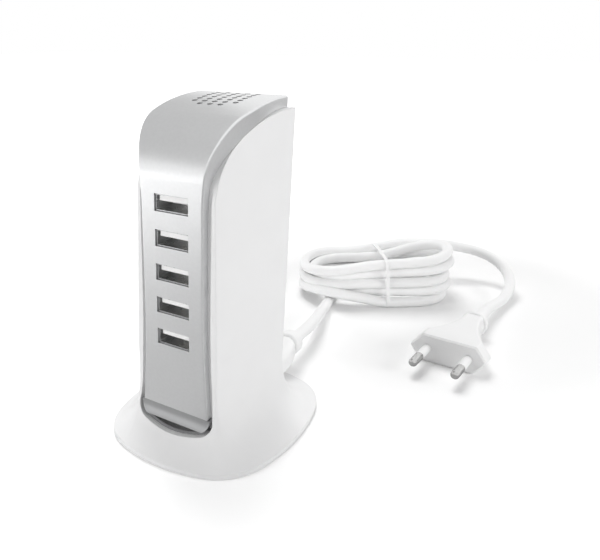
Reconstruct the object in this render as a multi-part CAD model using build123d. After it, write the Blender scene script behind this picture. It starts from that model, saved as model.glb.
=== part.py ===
from build123d import *
import math
import os

# Multi port USB desktop charger: a slim white tower on a flared foot, a silver cover that runs up
# the front and over the top, five USB sockets in it, and a detachable mains lead wound in a hank.
# Millimetres. +Z is up, the sockets face -Y, and the origin is on the table under the foot's middle.

# Foot
FOOT_HALF_WIDTH = 35.4
FOOT_HALF_DEPTH = 42.3
FOOT_SIDE_SHARE = 0.46      # how far a side of the foot's outline runs towards the corner
FOOT_SIDE_DROP = 0.945      # how far out the side still is at its ends
FOOT_PROUD = 0.5            # the rubber feet lift the rim by this much
RIM_TOP = 2.4               # top of the upright rim
FLARE_TOP = 40.0            # the foot's flare fades into the tower here
FLARE_POWER = 5             # how late the flare opens
WALL = 2.0

# Tower
COVER_TOP = 124.3           # height of the whole charger
FRONT_Y = -30.0             # face of the silver cover
BACK_Y = 13.0               # upright back wall
TOWER_BACK_HALF = 21.3
TOWER_FRONT_HALF_LOW = 16.9   # half width of the front at the flare's top
TOWER_FRONT_HALF_TOP = 14.7   # half width of the front, carried on to the very top
LIP_SETBACK_LOW = 1.5       # white lips stand this far behind the cover's face at the flare's top
LIP_SETBACK_TOP = 2.6
CORNER = 0.5                # upright corners of the tower
CHEEK_DROP = 3.7            # the white cheeks end this far below the cover's top
CHEEK_TOP = COVER_TOP - CHEEK_DROP
SHOULDER_RISE = 28.6        # height of the cheeks' bend
SHOULDER_START = CHEEK_TOP - SHOULDER_RISE
SHOULDER_RADIUS = 24.0
SHOULDER_STEP = 0.1         # keeps the shoulder from ending in a knife edge on the lip

# Silver cover
COVER_BOTTOM = 17.5
COVER_SHOULDER_RISE = 23.3
COVER_SHOULDER_START = COVER_TOP - COVER_SHOULDER_RISE
COVER_SHOULDER_RADIUS = 20.0
COVER_FOOT_HALF = 14.2      # half width at the lower edge
COVER_WAIST_HALF = 12.1     # half width along the ports
COVER_TOP_HALF = 18.0       # half width of the hood at the top
WAIST_LOW = 64.0            # the cover keeps its waist between these heights
HOOD_DROP = 33.8            # the hood starts to widen this far below the top
WAIST_HIGH = COVER_TOP - HOOD_DROP
HOOD_REACH = 56.5           # further up and back by this much, it has its full width
HOOD_FULL = WAIST_HIGH + HOOD_REACH
HOOD_BEND = 0.4             # where the hood's side turns from hollow to round
COVER_WALL = 1.6
COVER_EDGE = 0.6            # rounded outer edge of the cover
FIT = 0.15                  # clearance round fitted pieces
SEAT = 0.05                 # clearance where one piece stands on another

# Channel and notch round the cover
CHANNEL_DEPTH = 3.2         # the channel's floor behind the cover's face
CHANNEL_WIDTH = 2.0         # between the cover's side and the white lip
NOTCH_HALF = 15.9           # half width of the notch at the cover's lower edge
NOTCH_BOTTOM = 9.2
NOTCH_CORNER_HALF = 12.2    # where the notch's bottom starts to turn up
NOTCH_CORNER_RISE = 1.7
OPENING_SILL = 24.0         # lower edge of the opening behind the cover
SEAT_LEDGE = 1.7            # width of the ledge that carries the cover's skirts
OPENING_REACH = 1.5         # the opening's cut runs on into the hollow

# Trim and tray in the notch
TRIM_DEPTH = 5.1            # height of the silver trim under the cover
TRIM_SETBACK = 0.4
TRIM_REACH = 1.5            # the trim's lower edge comes forward by this much
TRIM_HALF = 14.9
LINE_GAP = 0.35             # dark line between cover and trim
TRAY_WALL = 0.8
TRAY_RISE = 3.5

# USB sockets
PORT_COUNT = 5
PORT_PITCH = 11.95
PORT_DROP = 31.1            # middle of the top socket below the cover's top
PORT_TOP_Z = COVER_TOP - PORT_DROP
WINDOW_WIDTH = 13.4
WINDOW_HEIGHT = 5.85
SHELL_WIDTH = 13.1
SHELL_HEIGHT = 5.6
SHELL_WALL = 0.35
SHELL_SETBACK = 0.7         # the shell's rim behind the cover's face
SHELL_DEPTH = 12.3
TONGUE_WIDTH = 11.1
TONGUE_THICK = 1.84
TONGUE_RISE = 0.45          # underside of the tongue above the socket's middle
TONGUE_SETBACK = 0.9
SOCKET_BLOCK = 3.4          # depth of the plastic block at the socket's back
CONTACT_PITCH = 2.3
CONTACT_WIDTH = 1.0
CONTACT_THICK = 0.25
CONTACT_LENGTH = 7.0

# Vents
VENT_DIAMETER = 2.0
VENT_PITCH_X = 4.0
VENT_PITCH_Y = 2.95
VENT_COLUMNS = 5
VENT_ROWS = 7
VENT_FIRST_Y = -7.4

# Boards
BOARD = 1.6
USB_BOARD_HALF = 10.4
USB_BOARD_MARGIN = 8.6      # above and below the outer sockets
POST_RADIUS = 1.9
POST_INSET = 2.1            # from the edges of a board
SCREW_RADIUS = 1.0
SCREW_HEAD_RADIUS = 1.9
SCREW_HEAD = 1.3
MAIN_BOARD_HALF = 15.0
MAIN_BOARD_LOW = 32.0
BOARD_HEADROOM = 14.3
MAIN_BOARD_HIGH = COVER_TOP - BOARD_HEADROOM
BOARD_LENGTH = MAIN_BOARD_HIGH - MAIN_BOARD_LOW
MAIN_STANDOFF = 3.0         # from the back wall's inner face to the board

# Parts of the power supply, standing on the main board. Their heights go with the board's length.
TRANSFORMER_Z = MAIN_BOARD_LOW + 0.378 * BOARD_LENGTH
CAPACITOR_Z = MAIN_BOARD_LOW + 0.154 * BOARD_LENGTH
CHOKE_Z = MAIN_BOARD_LOW + 0.59 * BOARD_LENGTH
SINK_Z = MAIN_BOARD_LOW + 0.583 * BOARD_LENGTH
BULK_Z = MAIN_BOARD_LOW + 0.756 * BOARD_LENGTH
BRIDGE_Z = MAIN_BOARD_LOW + 0.91 * BOARD_LENGTH
FUSE_Z = MAIN_BOARD_LOW + 0.917 * BOARD_LENGTH
CORE_WIDTH = 20.0
CORE_HEIGHT = 0.218 * BOARD_LENGTH
CORE_DEPTH = 7.0
CORE_LEG = 5.0
CORE_YOKE = 3.2
WINDING_WIDTH = 13.0
WINDING_DEPTH = 15.0
BULK_PLACES = [(-6.6, BULK_Z), (5.6, BULK_Z)]
BULK_RADIUS = 0.064 * BOARD_LENGTH
BULK_LENGTH = 16.0
OUTPUT_PLACES = [(-9.5, CAPACITOR_Z), (0.0, CAPACITOR_Z), (9.5, CAPACITOR_Z)]
OUTPUT_RADIUS = 0.051 * BOARD_LENGTH
OUTPUT_LENGTH = 12.0
CAN_EDGE = 0.6
BRIDGE_PLACE = (7.0, BRIDGE_Z)
BRIDGE_SIZE = (8.4, 3.4, 0.082 * BOARD_LENGTH)
CHOKE_PLACE = (7.7, CHOKE_Z)
CHOKE_RADIUS = 0.083 * BOARD_LENGTH
CHOKE_BORE = 2.6
CHOKE_LENGTH = 7.0
SINK_PLACE = (-5.5, SINK_Z)
SINK_WIDTH = 10.0
SINK_HEIGHT = 0.166 * BOARD_LENGTH
SINK_DEPTH = 14.0
SINK_PLATE = 2.0
SINK_FINS = 4
SINK_FIN = 1.0
TRANSISTOR_SIZE = (4.4, 9.0, 0.128 * BOARD_LENGTH)
FUSE_PLACE = (-6.0, FUSE_Z)
FUSE_RADIUS = 0.0308 * BOARD_LENGTH
FUSE_LENGTH = 8.5
Y_CAP_PLACE = (12.6, TRANSFORMER_Z)
Y_CAP_RADIUS = 0.051 * BOARD_LENGTH
Y_CAP_THICK = 2.6
WIRE_RADIUS = 0.9
DC_WIRE_X = 1.3
DC_WIRE_Z = 37.4
DC_WIRE_SAG = 1.6
MAINS_WIRE_Z = 36.0
MAINS_WIRE_LIFT = 20.0      # how high the mains wires run before they turn to the board

# Appliance inlet in the back of the foot
INLET_X = 5.5
INLET_Z = 11.5
INLET_FACE_Y = 18.0
POCKET_HALF = 10.5
POCKET_HEIGHT = 12.4
POCKET_CORNER = 2.0
NOSE_RADIUS = 4.2           # figure-of-eight nose of the connector
PIN_PITCH = 8.6
INLET_PIN_RADIUS = 1.18
INLET_PIN_LENGTH = 10.0
INLET_PIN_TAIL = 2.0        # solder tails behind the inlet
NOSE_LENGTH = 13.0
INLET_WALL = 2.2

# Connector on the lead
GRIP_HALF_WIDTH = 8.4
GRIP_HALF_HEIGHT = 5.2
GRIP_CORNER = 3.6
GRIP_GAP = 0.2              # between the grip and the inlet's face
GRIP_LENGTH = 27.0
NECK_LENGTH = 4.5
NECK_RADIUS = 4.2
COLLAR_RADIUS = 5.6
COLLAR_LENGTH = 6.0
COLLAR_EDGE = 1.2
CORD_RADIUS = 2.9

# Hank, where it lies on the table
HANK_CENTRE = (7.0, 168.0)
HANK_TURN = 33.85           # the hank's long axis, turned from +X
HANK_HALF_LENGTH = 47.0
HANK_HALF_WIDTH = 22.5
HANK_BUNDLE = 12.5          # width of the bundle of turns
HANK_LOW = 20.0             # height at the end with the tail
HANK_HIGH = 30.5            # height at the end with the lead, where the turns fan out
HANK_EDGE = 2.4
TIE_WIDTH = 2.6
TIE_THICK = 0.9
TAIL_ENTRY = -110.9         # where the tail goes into the hank, turned from the long axis
LEAD_EXIT = 50.0            # where the lead leaves it
TAIL_ENTRY_Z = 3.2
LEAD_EXIT_Z = 18.0

# Plug, lying on the table
PLUG_X = 67.0
PLUG_FACE_Y = 91.0
PLUG_TURN = -4.0
PLUG_HALF_WIDTH = 17.65
PLUG_HALF_HEIGHT = 6.85
PLUG_TOP_HALF = 12.2        # half width of the flat top and bottom
PLUG_BEVEL = 0.8            # round the face
PLUG_CORNER = 1.6           # rounding of the body's long edges
PLUG_STRAIGHT = 8.0         # the body keeps its width this far from the face
PLUG_WAIST_Y = 23.0         # then it narrows fast, and slowly from here on
PLUG_WAIST_HALF = 9.4
PLUG_LENGTH = 40.0
PLUG_BACK_HALF = 5.6
PLUG_COLLAR_RADIUS = 6.6
PLUG_COLLAR_LENGTH = 4.0
RELIEF_RADIUS = 4.6
RELIEF_LENGTH = 16.0
PLUG_PIN_PITCH = 18.6
PLUG_PIN_RADIUS = 2.0
PLUG_PIN_LENGTH = 19.0
SLEEVE_LENGTH = 10.0
SLEEVE_WALL = 0.4

# The lead's route between connector, hank and plug; its ends are worked out below
TAIL_POINTS = [(5.5, 66, 11.4), (4.2, 79.5, 10.2), (1.3, 93.5, 8.3), (-2.2, 107.5, 6), (-5.6, 120.5, 3.2)]
LEAD_POINTS = [
    (30.9, 215, 18.3), (37.2, 224.3, 18.4), (47.1, 229.8, 18), (58.3, 230, 16), (68.5, 225, 12.8),
    (75.1, 215.9, 9.2), (76.8, 204.8, 6), (76.4, 191, 4.2), (75, 178, 3.6), (73.2, 168.5, 5),
    (71.67, 157.84, 6.85),
]
ARC_SHARE = 0.45            # of the shorter run, given to each bend
CORD_GAP = 0.1              # between a cord's end and the face that it meets

# Bottom plate, feet and screws
PLATE = 1.8
PAD_RADIUS = 5.0
PAD_RECESS = 0.8
PAD_X = 20.0
PAD_Y = 27.0
BASE_SCREW_X = 24.0
BASE_SCREW_Y = 12.0
BASE_BOSS_RADIUS = 2.8
BASE_HEAD_RADIUS = 2.4
BASE_HEAD = 1.0
BASE_SCREW_LENGTH = 5.0

PLATE_TOP = FOOT_PROUD + PLATE
CHANNEL_Y = FRONT_Y + CHANNEL_DEPTH
USB_BOARD_Y = FRONT_Y + SHELL_SETBACK + SHELL_DEPTH
INNER_BACK_Y = BACK_Y - WALL
MAIN_BOARD_Y = INNER_BACK_Y - MAIN_STANDOFF - BOARD
PORT_HEIGHTS = [PORT_TOP_Z - PORT_PITCH * i for i in range(PORT_COUNT)]
FAR = 200.0


def block(x0, x1, y0, y1, z0, z1):
    return Pos((x0 + x1) / 2, (y0 + y1) / 2, (z0 + z1) / 2) * Box(x1 - x0, y1 - y0, z1 - z0)


def rod(x, z, y0, y1, radius):
    """A cylinder along Y."""
    return Pos(x, (y0 + y1) / 2, z) * Rot(90, 0, 0) * Cylinder(radius, y1 - y0)


def peg(x, y, z0, z1, radius):
    """A cylinder along Z."""
    return Pos(x, y, (z0 + z1) / 2) * Cylinder(radius, z1 - z0)


def four(spread_x, spread_y):
    return [(sx * spread_x, sy * spread_y) for sx in (-1, 1) for sy in (-1, 1)]


def mix(a, b, share):
    return tuple(p + (q - p) * share for p, q in zip(a, b))


def draft(low, high, z):
    """A size that changes evenly from the flare's top to the top of the tower."""
    return low + (high - low) * (z - FLARE_TOP) / (COVER_TOP - FLARE_TOP)


def flare_share(z):
    """0 on the tower, 1 at the foot's rim."""
    return max(0.0, (FLARE_TOP - z) / (FLARE_TOP - RIM_TOP)) ** FLARE_POWER


# Plan outlines: eight curves, a side and a corner in turn, each three control points long.
def foot_outline(inset):
    half_w = FOOT_HALF_WIDTH - inset
    half_d = FOOT_HALF_DEPTH - inset
    side_x, side_y = FOOT_SIDE_SHARE * half_w, FOOT_SIDE_DROP * half_d
    flank_x, flank_y = FOOT_SIDE_DROP * half_w, FOOT_SIDE_SHARE * half_d
    # The corner's control point is where the tangents of the two sides cross.
    slope_side = 2 * (half_d - side_y) / side_x
    slope_flank = 2 * (half_w - flank_x) / flank_y
    step = (flank_x - side_x + slope_flank * (flank_y - side_y)) / (1 - slope_side * slope_flank)
    corner = (side_x + step, side_y - slope_side * step)
    front = [(-side_x, -side_y), (0, side_y - 2 * half_d), (side_x, -side_y)]
    right = [(flank_x, -flank_y), (2 * half_w - flank_x, 0), (flank_x, flank_y)]
    back = [(x, -y) for x, y in reversed(front)]
    left = [(-x, y) for x, y in reversed(right)]
    sides = [front, right, back, left]
    corners = [(sx * corner[0], sy * corner[1]) for sx, sy in ((1, -1), (1, 1), (-1, 1), (-1, -1))]
    return close_outline(sides, corners)


def tower_outline(z, inset, front_y):
    front_half = draft(TOWER_FRONT_HALF_LOW, TOWER_FRONT_HALF_TOP, z) - inset
    back_half = TOWER_BACK_HALF - inset
    back_y = BACK_Y - inset
    corners = [(front_half, front_y), (back_half, back_y), (-back_half, back_y), (-front_half, front_y)]
    sides = []
    for start, end in zip([corners[3]] + corners[:3], corners):
        share = CORNER / math.dist(start, end)
        a, b = mix(start, end, share), mix(end, start, share)
        sides.append([a, mix(a, b, 0.5), b])
    return close_outline(sides, corners)


def close_outline(sides, corners):
    curves = []
    for i, corner in enumerate(corners):
        curves.append(sides[i])
        curves.append([sides[i][2], corner, sides[(i + 1) % 4][0]])
    return curves


def section(z, shape_z, inset, front_y):
    """The closed plan outline at height z, with the form that the body has at shape_z."""
    share = flare_share(shape_z)
    curves = zip(tower_outline(max(shape_z, FLARE_TOP), inset, front_y), foot_outline(inset))
    edges = []
    for tower, foot in curves:
        points = [mix(t, f, share) + (z,) for t, f in zip(tower, foot)]
        edges.append(Bezier(*points))
    return Wire(edges)


def lip_y(z):
    return FRONT_Y + draft(LIP_SETBACK_LOW, LIP_SETBACK_TOP, z)


FLARE_LEVELS = [0, 0.04, 0.1, 0.18, 0.29, 0.43, 0.6, 0.8, 1]


def body(inset, drop, front_extra, bottom):
    """Tower and flared foot as one solid; inset and drop shrink it for the hollow inside."""
    levels = [RIM_TOP + (FLARE_TOP - RIM_TOP) * share for share in FLARE_LEVELS]
    low_front = lip_y(FLARE_TOP) + front_extra
    top_front = lip_y(COVER_TOP) + front_extra
    flare_wires = [section(z - drop, z, inset, low_front) for z in levels]
    flare = Solid.make_loft(flare_wires)
    tower_low = section(FLARE_TOP - drop, FLARE_TOP, inset, low_front)
    tower_high = section(COVER_TOP, COVER_TOP, inset, top_front)
    tower = Solid.make_loft([tower_low, tower_high], ruled=True)
    rim_face = Face(section(bottom, RIM_TOP, inset, low_front))
    rim = extrude(rim_face, RIM_TOP - drop - bottom, dir=(0, 0, 1))
    return flare + tower + rim


# Side views, drawn in the YZ plane.
def shoulder(start_y, start_z, radius, top_z):
    """Two tangent arcs, from an upright front to a level top at the back."""
    depth = BACK_Y - start_y - radius
    rest = 2 * math.atan((top_z - start_z - radius) / depth)
    turn = 90 - math.degrees(rest)
    long_radius = radius + depth / math.sin(rest)
    first = JernArc((start_y, start_z), (0, 1), radius, -turn)
    second = JernArc(first @ 1, first % 1, long_radius, -math.degrees(rest))
    return [first, second]


def side_region(start_y, start_z, radius, top_z, front_y, back_y, bottom_z):
    """The area below and behind a shoulder, as a face in the YZ plane."""
    arcs = shoulder(start_y, start_z, radius, top_z)
    corner = arcs[0] @ 0
    crest = arcs[1] @ 1
    outline = arcs + [
        Polyline(crest, (back_y, crest.Y), (back_y, bottom_z), (front_y, bottom_z), (front_y, corner.Y)),
    ]
    if front_y < corner.X:
        outline.append(Line((front_y, corner.Y), corner))
    return make_face(outline)


def across(face):
    """A side view drawn through the whole width."""
    return extrude(Plane.YZ * face, FAR, both=True)


def cheek_region(sink):
    start_y = lip_y(SHOULDER_START) - SHOULDER_STEP + sink
    return side_region(start_y, SHOULDER_START, SHOULDER_RADIUS - sink, CHEEK_TOP - sink, -FAR, FAR, -FAR)


def seat_region(sink):
    """What stays of the white body behind the channel's floor: the cover stands on it."""
    front = Pos(CHANNEL_Y + sink - FAR, 0) * Rectangle(2 * FAR, 4 * FAR)
    return cheek_region(sink) - front


def cover_region(sink):
    return side_region(FRONT_Y + sink, COVER_SHOULDER_START, COVER_SHOULDER_RADIUS - sink,
                       COVER_TOP - sink, FRONT_Y + sink, BACK_Y - sink, -FAR)


# Views of the cover and of the channel round it
def along(face, y0, y1):
    """A front view drawn from y0 back to y1."""
    return extrude(Plane(origin=(0, y1, 0), x_dir=(1, 0, 0), z_dir=(0, -1, 0)) * face, y1 - y0)


def slanting(face):
    """A view from the front and above at 45 degrees, drawn through everything."""
    return extrude(Plane(origin=(0, FRONT_Y, 0), x_dir=(1, 0, 0), z_dir=(0, -1, 1)) * face, FAR, both=True)


def both_sides(right):
    return right + [mirror(edge, about=Plane.YZ) for edge in right]


def cover_view(grow):
    """The cover's outline, seen slanting: wide at the foot, a long waist, then the wider hood."""
    foot, waist, top = COVER_FOOT_HALF + grow, COVER_WAIST_HALF + grow, COVER_TOP_HALF + grow
    levels = (COVER_BOTTOM, WAIST_LOW, WAIST_HIGH, HOOD_FULL, 2 * COVER_TOP)
    bottom, low, high, full, roof = [level / math.sqrt(2) for level in levels]
    bend = mix((waist, high), (top, full), HOOD_BEND)
    hollow_part = TangentArc((waist, high), bend, tangent=(0, 1))
    right = [
        TangentArc((waist, low), (foot, bottom), tangent=(0, -1)),
        Line((waist, low), (waist, high)),
        hollow_part,
        TangentArc(bend, (top, full), tangent=hollow_part % 1),
        Line((top, full), (top, roof)),
    ]
    ends = [Line((foot, bottom), (-foot, bottom)), Line((top, roof), (-top, roof))]
    return make_face(both_sides(right) + ends)


def notch_bottom(inset):
    """The U that closes the channel: two turned-up corners and a shallow bottom."""
    half = NOTCH_HALF - inset
    corner = (NOTCH_CORNER_HALF - inset, NOTCH_BOTTOM + NOTCH_CORNER_RISE + inset)
    bottom = ThreePointArc((-corner[0], corner[1]), (0, NOTCH_BOTTOM + inset), corner)
    return [bottom] + both_sides([TangentArc(corner, (half, COVER_BOTTOM), tangent=bottom % 1)])


def notch_view(inset):
    """The notch below the cover's lower edge."""
    half = NOTCH_HALF - inset
    return make_face(notch_bottom(inset) + [Line((half, COVER_BOTTOM), (-half, COVER_BOTTOM))])


def channel_view():
    waist = COVER_WAIST_HALF + CHANNEL_WIDTH
    right = [
        TangentArc((waist, WAIST_LOW), (NOTCH_HALF, COVER_BOTTOM), tangent=(0, -1)),
        Line((waist, WAIST_LOW), (waist, COVER_TOP)),
    ]
    return make_face(both_sides(right) + notch_bottom(0) + [Line((waist, COVER_TOP), (-waist, COVER_TOP))])


# The white housing
def inlet_pocket(grow):
    half = POCKET_HALF + grow
    height = POCKET_HEIGHT + 2 * grow
    view = Pos(INLET_X, INLET_Z) * RectangleRounded(2 * half, height, POCKET_CORNER + grow)
    return along(view, INLET_FACE_Y - grow, FAR)


def figure_eight(radius, y0, y1):
    view = Pos(INLET_X, INLET_Z) * SlotCenterToCenter(PIN_PITCH, 2 * radius)
    return along(view, y0, y1)


def main_board_posts():
    low, high = MAIN_BOARD_LOW + POST_INSET, MAIN_BOARD_HIGH - POST_INSET
    return [(sx * (MAIN_BOARD_HALF - POST_INSET), z) for sx in (-1, 1) for z in (low, high)]


def hollow():
    inside = body(WALL, WALL, CHANNEL_DEPTH + WALL - LIP_SETBACK_LOW, FOOT_PROUD - WALL)
    inside &= across(cheek_region(WALL))
    # Keep a wall behind and round the notch, and round the inlet's pocket.
    notch_room = block(-NOTCH_HALF - WALL, NOTCH_HALF + WALL, -FAR, CHANNEL_Y + WALL,
                       NOTCH_BOTTOM - WALL, OPENING_SILL)
    return inside - notch_room - inlet_pocket(WALL)


def make_housing():
    outer = body(0, 0, 0, FOOT_PROUD) & across(cheek_region(0))
    shell = outer - hollow()
    shell -= along(channel_view(), -FAR, CHANNEL_Y)
    opening = slanting(cover_view(-SEAT_LEDGE)) & block(-FAR, FAR, -FAR, INNER_BACK_Y, OPENING_SILL, FAR)
    shell -= opening - across(seat_region(WALL + OPENING_REACH))
    shell -= inlet_pocket(0)
    shell -= figure_eight(NOSE_RADIUS + FIT, INLET_FACE_Y - NOSE_LENGTH, INLET_FACE_Y + WALL)
    for x, z in main_board_posts():
        post = rod(x, z, MAIN_BOARD_Y + BOARD, INNER_BACK_Y + WALL / 2, POST_RADIUS)
        shell += post - rod(x, z, -FAR, INNER_BACK_Y, SCREW_RADIUS)
    for x, y in four(BASE_SCREW_X, BASE_SCREW_Y):
        shell += peg(x, y, PLATE_TOP + SEAT, FLARE_TOP, BASE_BOSS_RADIUS) & outer
        shell -= peg(x, y, 0, PLATE_TOP + BASE_SCREW_LENGTH, SCREW_RADIUS)
    return shell


# The silver cover
def vent_places():
    places = []
    middle = (VENT_COLUMNS - 1) / 2
    for row in range(VENT_ROWS):
        # The first row leaves out its two outer vents.
        columns = range(1, VENT_COLUMNS - 1) if row == 0 else range(VENT_COLUMNS)
        places += [((c - middle) * VENT_PITCH_X, VENT_FIRST_Y + row * VENT_PITCH_Y) for c in columns]
    return places


def usb_post_places():
    x = USB_BOARD_HALF - POST_INSET
    low = PORT_HEIGHTS[-1] - USB_BOARD_MARGIN + POST_INSET
    high = PORT_HEIGHTS[0] + USB_BOARD_MARGIN - POST_INSET
    return [(sx * x, z) for sx in (-1, 1) for z in (low, high)]


def round_edges(cover):
    """Rounds the two long edges between the cover's face and its sides."""
    sides = [f for f in cover.faces() if abs(f.normal_at().X) > 0.6]
    outside = [f for f in cover.faces() if f.normal_at().dot(Vector(0, -1, 1)) > 0.6]
    side_edges = [e for f in sides for e in f.edges()]
    edges = [e for f in outside for e in f.edges() if any(e.is_same(other) for other in side_edges)]
    return fillet(edges, COVER_EDGE)


def make_front_cover():
    skin = across(cover_region(0) - seat_region(-SEAT))
    above_foot = block(-FAR, FAR, -FAR, FAR, COVER_BOTTOM, FAR)
    cover = round_edges(skin & slanting(cover_view(0)) & above_foot)
    cover -= across(cover_region(COVER_WALL)) & slanting(cover_view(-COVER_WALL))
    for z in PORT_HEIGHTS:
        window = Pos(0, z) * Rectangle(WINDOW_WIDTH, WINDOW_HEIGHT)
        cover -= along(window, FRONT_Y - WALL, FRONT_Y + 2 * COVER_WALL)
    for x, y in vent_places():
        cover -= peg(x, y, CHEEK_TOP - WALL, COVER_TOP + WALL, VENT_DIAMETER / 2)
    for x, z in usb_post_places():
        post = rod(x, z, FRONT_Y + COVER_WALL / 2, USB_BOARD_Y - SEAT, POST_RADIUS)
        cover += post - rod(x, z, FRONT_Y + COVER_WALL, FAR, SCREW_RADIUS)
    return cover


# Trim and tray in the notch
def make_lower_trim():
    top = COVER_BOTTOM - LINE_GAP
    bottom = COVER_BOTTOM - TRIM_DEPTH
    face_y = FRONT_Y + TRIM_SETBACK
    back_y = CHANNEL_Y - SEAT
    curve = TangentArc((face_y, top), (face_y - TRIM_REACH, bottom), tangent=(0, -1))
    outline = [curve, Polyline(curve @ 1, (back_y, bottom), (back_y, top), (face_y, top))]
    trim = extrude(Plane.YZ * make_face(outline), TRIM_HALF, both=True)
    return trim & along(notch_view(SEAT + TRAY_WALL + FIT), -FAR, FAR)


def make_trough_tray():
    sheet = notch_view(SEAT) - notch_view(SEAT + TRAY_WALL)
    sheet -= Pos(0, NOTCH_BOTTOM + TRAY_RISE + FAR / 2) * Rectangle(FAR, FAR)
    inside_rim = body(WALL, 0, WALL, FOOT_PROUD)
    return along(sheet, -FAR, CHANNEL_Y - SEAT) & inside_rim


# USB sockets
def make_usb_shell(z):
    y0 = FRONT_Y + SHELL_SETBACK
    outer = Pos(0, z) * Rectangle(SHELL_WIDTH, SHELL_HEIGHT)
    inner = Pos(0, z) * Rectangle(SHELL_WIDTH - 2 * SHELL_WALL, SHELL_HEIGHT - 2 * SHELL_WALL)
    return along(outer - inner, y0, USB_BOARD_Y - SEAT)


def make_usb_tongue(z):
    width = SHELL_WIDTH - 2 * SHELL_WALL - 2 * SEAT
    height = SHELL_HEIGHT - 2 * SHELL_WALL - 2 * SEAT
    y1 = USB_BOARD_Y - SEAT
    back = along(Pos(0, z) * Rectangle(width, height), y1 - SOCKET_BLOCK, y1)
    tip_y = FRONT_Y + SHELL_SETBACK + TONGUE_SETBACK
    tongue = Pos(0, z + TONGUE_RISE + TONGUE_THICK / 2) * Rectangle(TONGUE_WIDTH, TONGUE_THICK)
    return back + along(tongue, tip_y, y1 - SOCKET_BLOCK)


def make_usb_contacts(z):
    y1 = USB_BOARD_Y - SEAT - SOCKET_BLOCK - SEAT
    top = z + TONGUE_RISE - SEAT / 2
    strips = []
    for i in range(4):
        x = (i - 1.5) * CONTACT_PITCH
        half = CONTACT_WIDTH / 2
        strips.append(block(x - half, x + half, y1 - CONTACT_LENGTH, y1, top - CONTACT_THICK, top))
    return strips


def make_usb_board():
    low = PORT_HEIGHTS[-1] - USB_BOARD_MARGIN
    high = PORT_HEIGHTS[0] + USB_BOARD_MARGIN
    board = block(-USB_BOARD_HALF, USB_BOARD_HALF, USB_BOARD_Y, USB_BOARD_Y + BOARD, low, high)
    for x, z in usb_post_places():
        board -= rod(x, z, -FAR, FAR, SCREW_RADIUS + FIT)
    return board


def screw(x, z, seat_y, length, way):
    """A pan-head screw along Y: the head sits on seat_y, the shank goes the given way."""
    head = sorted((seat_y - way * SEAT, seat_y - way * SCREW_HEAD))
    shank = sorted((seat_y - way * SCREW_HEAD / 2, seat_y + way * length))
    return rod(x, z, *head, SCREW_HEAD_RADIUS) + rod(x, z, *shank, SCREW_RADIUS - SEAT)


def make_usb_board_screws():
    seat_y = USB_BOARD_Y + BOARD
    return [screw(x, z, seat_y, BOARD + 3 * SCREW_RADIUS, -1) for x, z in usb_post_places()]


# Power supply
def make_main_board():
    board = block(-MAIN_BOARD_HALF, MAIN_BOARD_HALF, MAIN_BOARD_Y, MAIN_BOARD_Y + BOARD,
                  MAIN_BOARD_LOW, MAIN_BOARD_HIGH)
    for x, z in main_board_posts():
        board -= rod(x, z, -FAR, FAR, SCREW_RADIUS + FIT)
    return board


def make_main_board_screws():
    length = BOARD + MAIN_STANDOFF - SCREW_RADIUS
    return [screw(x, z, MAIN_BOARD_Y, length, 1) for x, z in main_board_posts()]


def on_board(x, z, width, depth, height):
    """A block that stands on the main board's front."""
    foot_y = MAIN_BOARD_Y - SEAT
    return block(x - width / 2, x + width / 2, foot_y - depth, foot_y, z - height / 2, z + height / 2)


def make_transformer_core():
    y_middle = -(WINDING_DEPTH - CORE_DEPTH) / 2
    core = Pos(0, y_middle, 0) * on_board(0, TRANSFORMER_Z, CORE_WIDTH, CORE_DEPTH, CORE_HEIGHT)
    limb = (CORE_WIDTH - CORE_LEG) / 2 - CORE_YOKE
    for side in (-1, 1):
        x = side * (CORE_LEG + limb) / 2
        core -= on_board(x, TRANSFORMER_Z, limb, 2 * WINDING_DEPTH, CORE_HEIGHT - 2 * CORE_YOKE)
    return core


def make_transformer_winding():
    height = CORE_HEIGHT - 2 * CORE_YOKE - 2 * FIT
    coil = on_board(0, TRANSFORMER_Z, WINDING_WIDTH, WINDING_DEPTH, height)
    coil = fillet(coil.edges().filter_by(Axis.Z), CORE_YOKE)
    y_middle = -(WINDING_DEPTH - CORE_DEPTH) / 2
    bore = on_board(0, TRANSFORMER_Z, CORE_LEG + 2 * FIT, CORE_DEPTH + 2 * FIT, CORE_HEIGHT)
    return coil - Pos(0, y_middle + FIT, 0) * bore


def can(x, z, radius, length):
    """An electrolytic capacitor, standing on the main board."""
    body_can = rod(x, z, MAIN_BOARD_Y - SEAT - length, MAIN_BOARD_Y - SEAT, radius)
    return fillet(body_can.edges().sort_by(Axis.Y)[0], CAN_EDGE)


def make_heat_sink():
    x, z = SINK_PLACE
    plate = on_board(x, z, SINK_PLATE, SINK_DEPTH, SINK_HEIGHT)
    fin_width = SINK_WIDTH - SINK_PLATE
    for i in range(SINK_FINS):
        fin_z = z + (i / (SINK_FINS - 1) - 0.5) * (SINK_HEIGHT - SINK_FIN)
        plate += on_board(x - (fin_width + SINK_PLATE) / 2, fin_z, fin_width, SINK_DEPTH, SINK_FIN)
    return plate


def make_switch_transistor():
    width, depth, height = TRANSISTOR_SIZE
    x = SINK_PLACE[0] + SINK_PLATE / 2 + SEAT + width / 2
    return on_board(x, SINK_PLACE[1], width, depth, height)


def make_line_choke():
    x, z = CHOKE_PLACE
    y0, y1 = MAIN_BOARD_Y - SEAT - CHOKE_LENGTH, MAIN_BOARD_Y - SEAT
    ring = rod(x, z, y0, y1, CHOKE_RADIUS) - rod(x, z, -FAR, FAR, CHOKE_BORE)
    return fillet(ring.edges().filter_by(GeomType.CIRCLE), CAN_EDGE)


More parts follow.
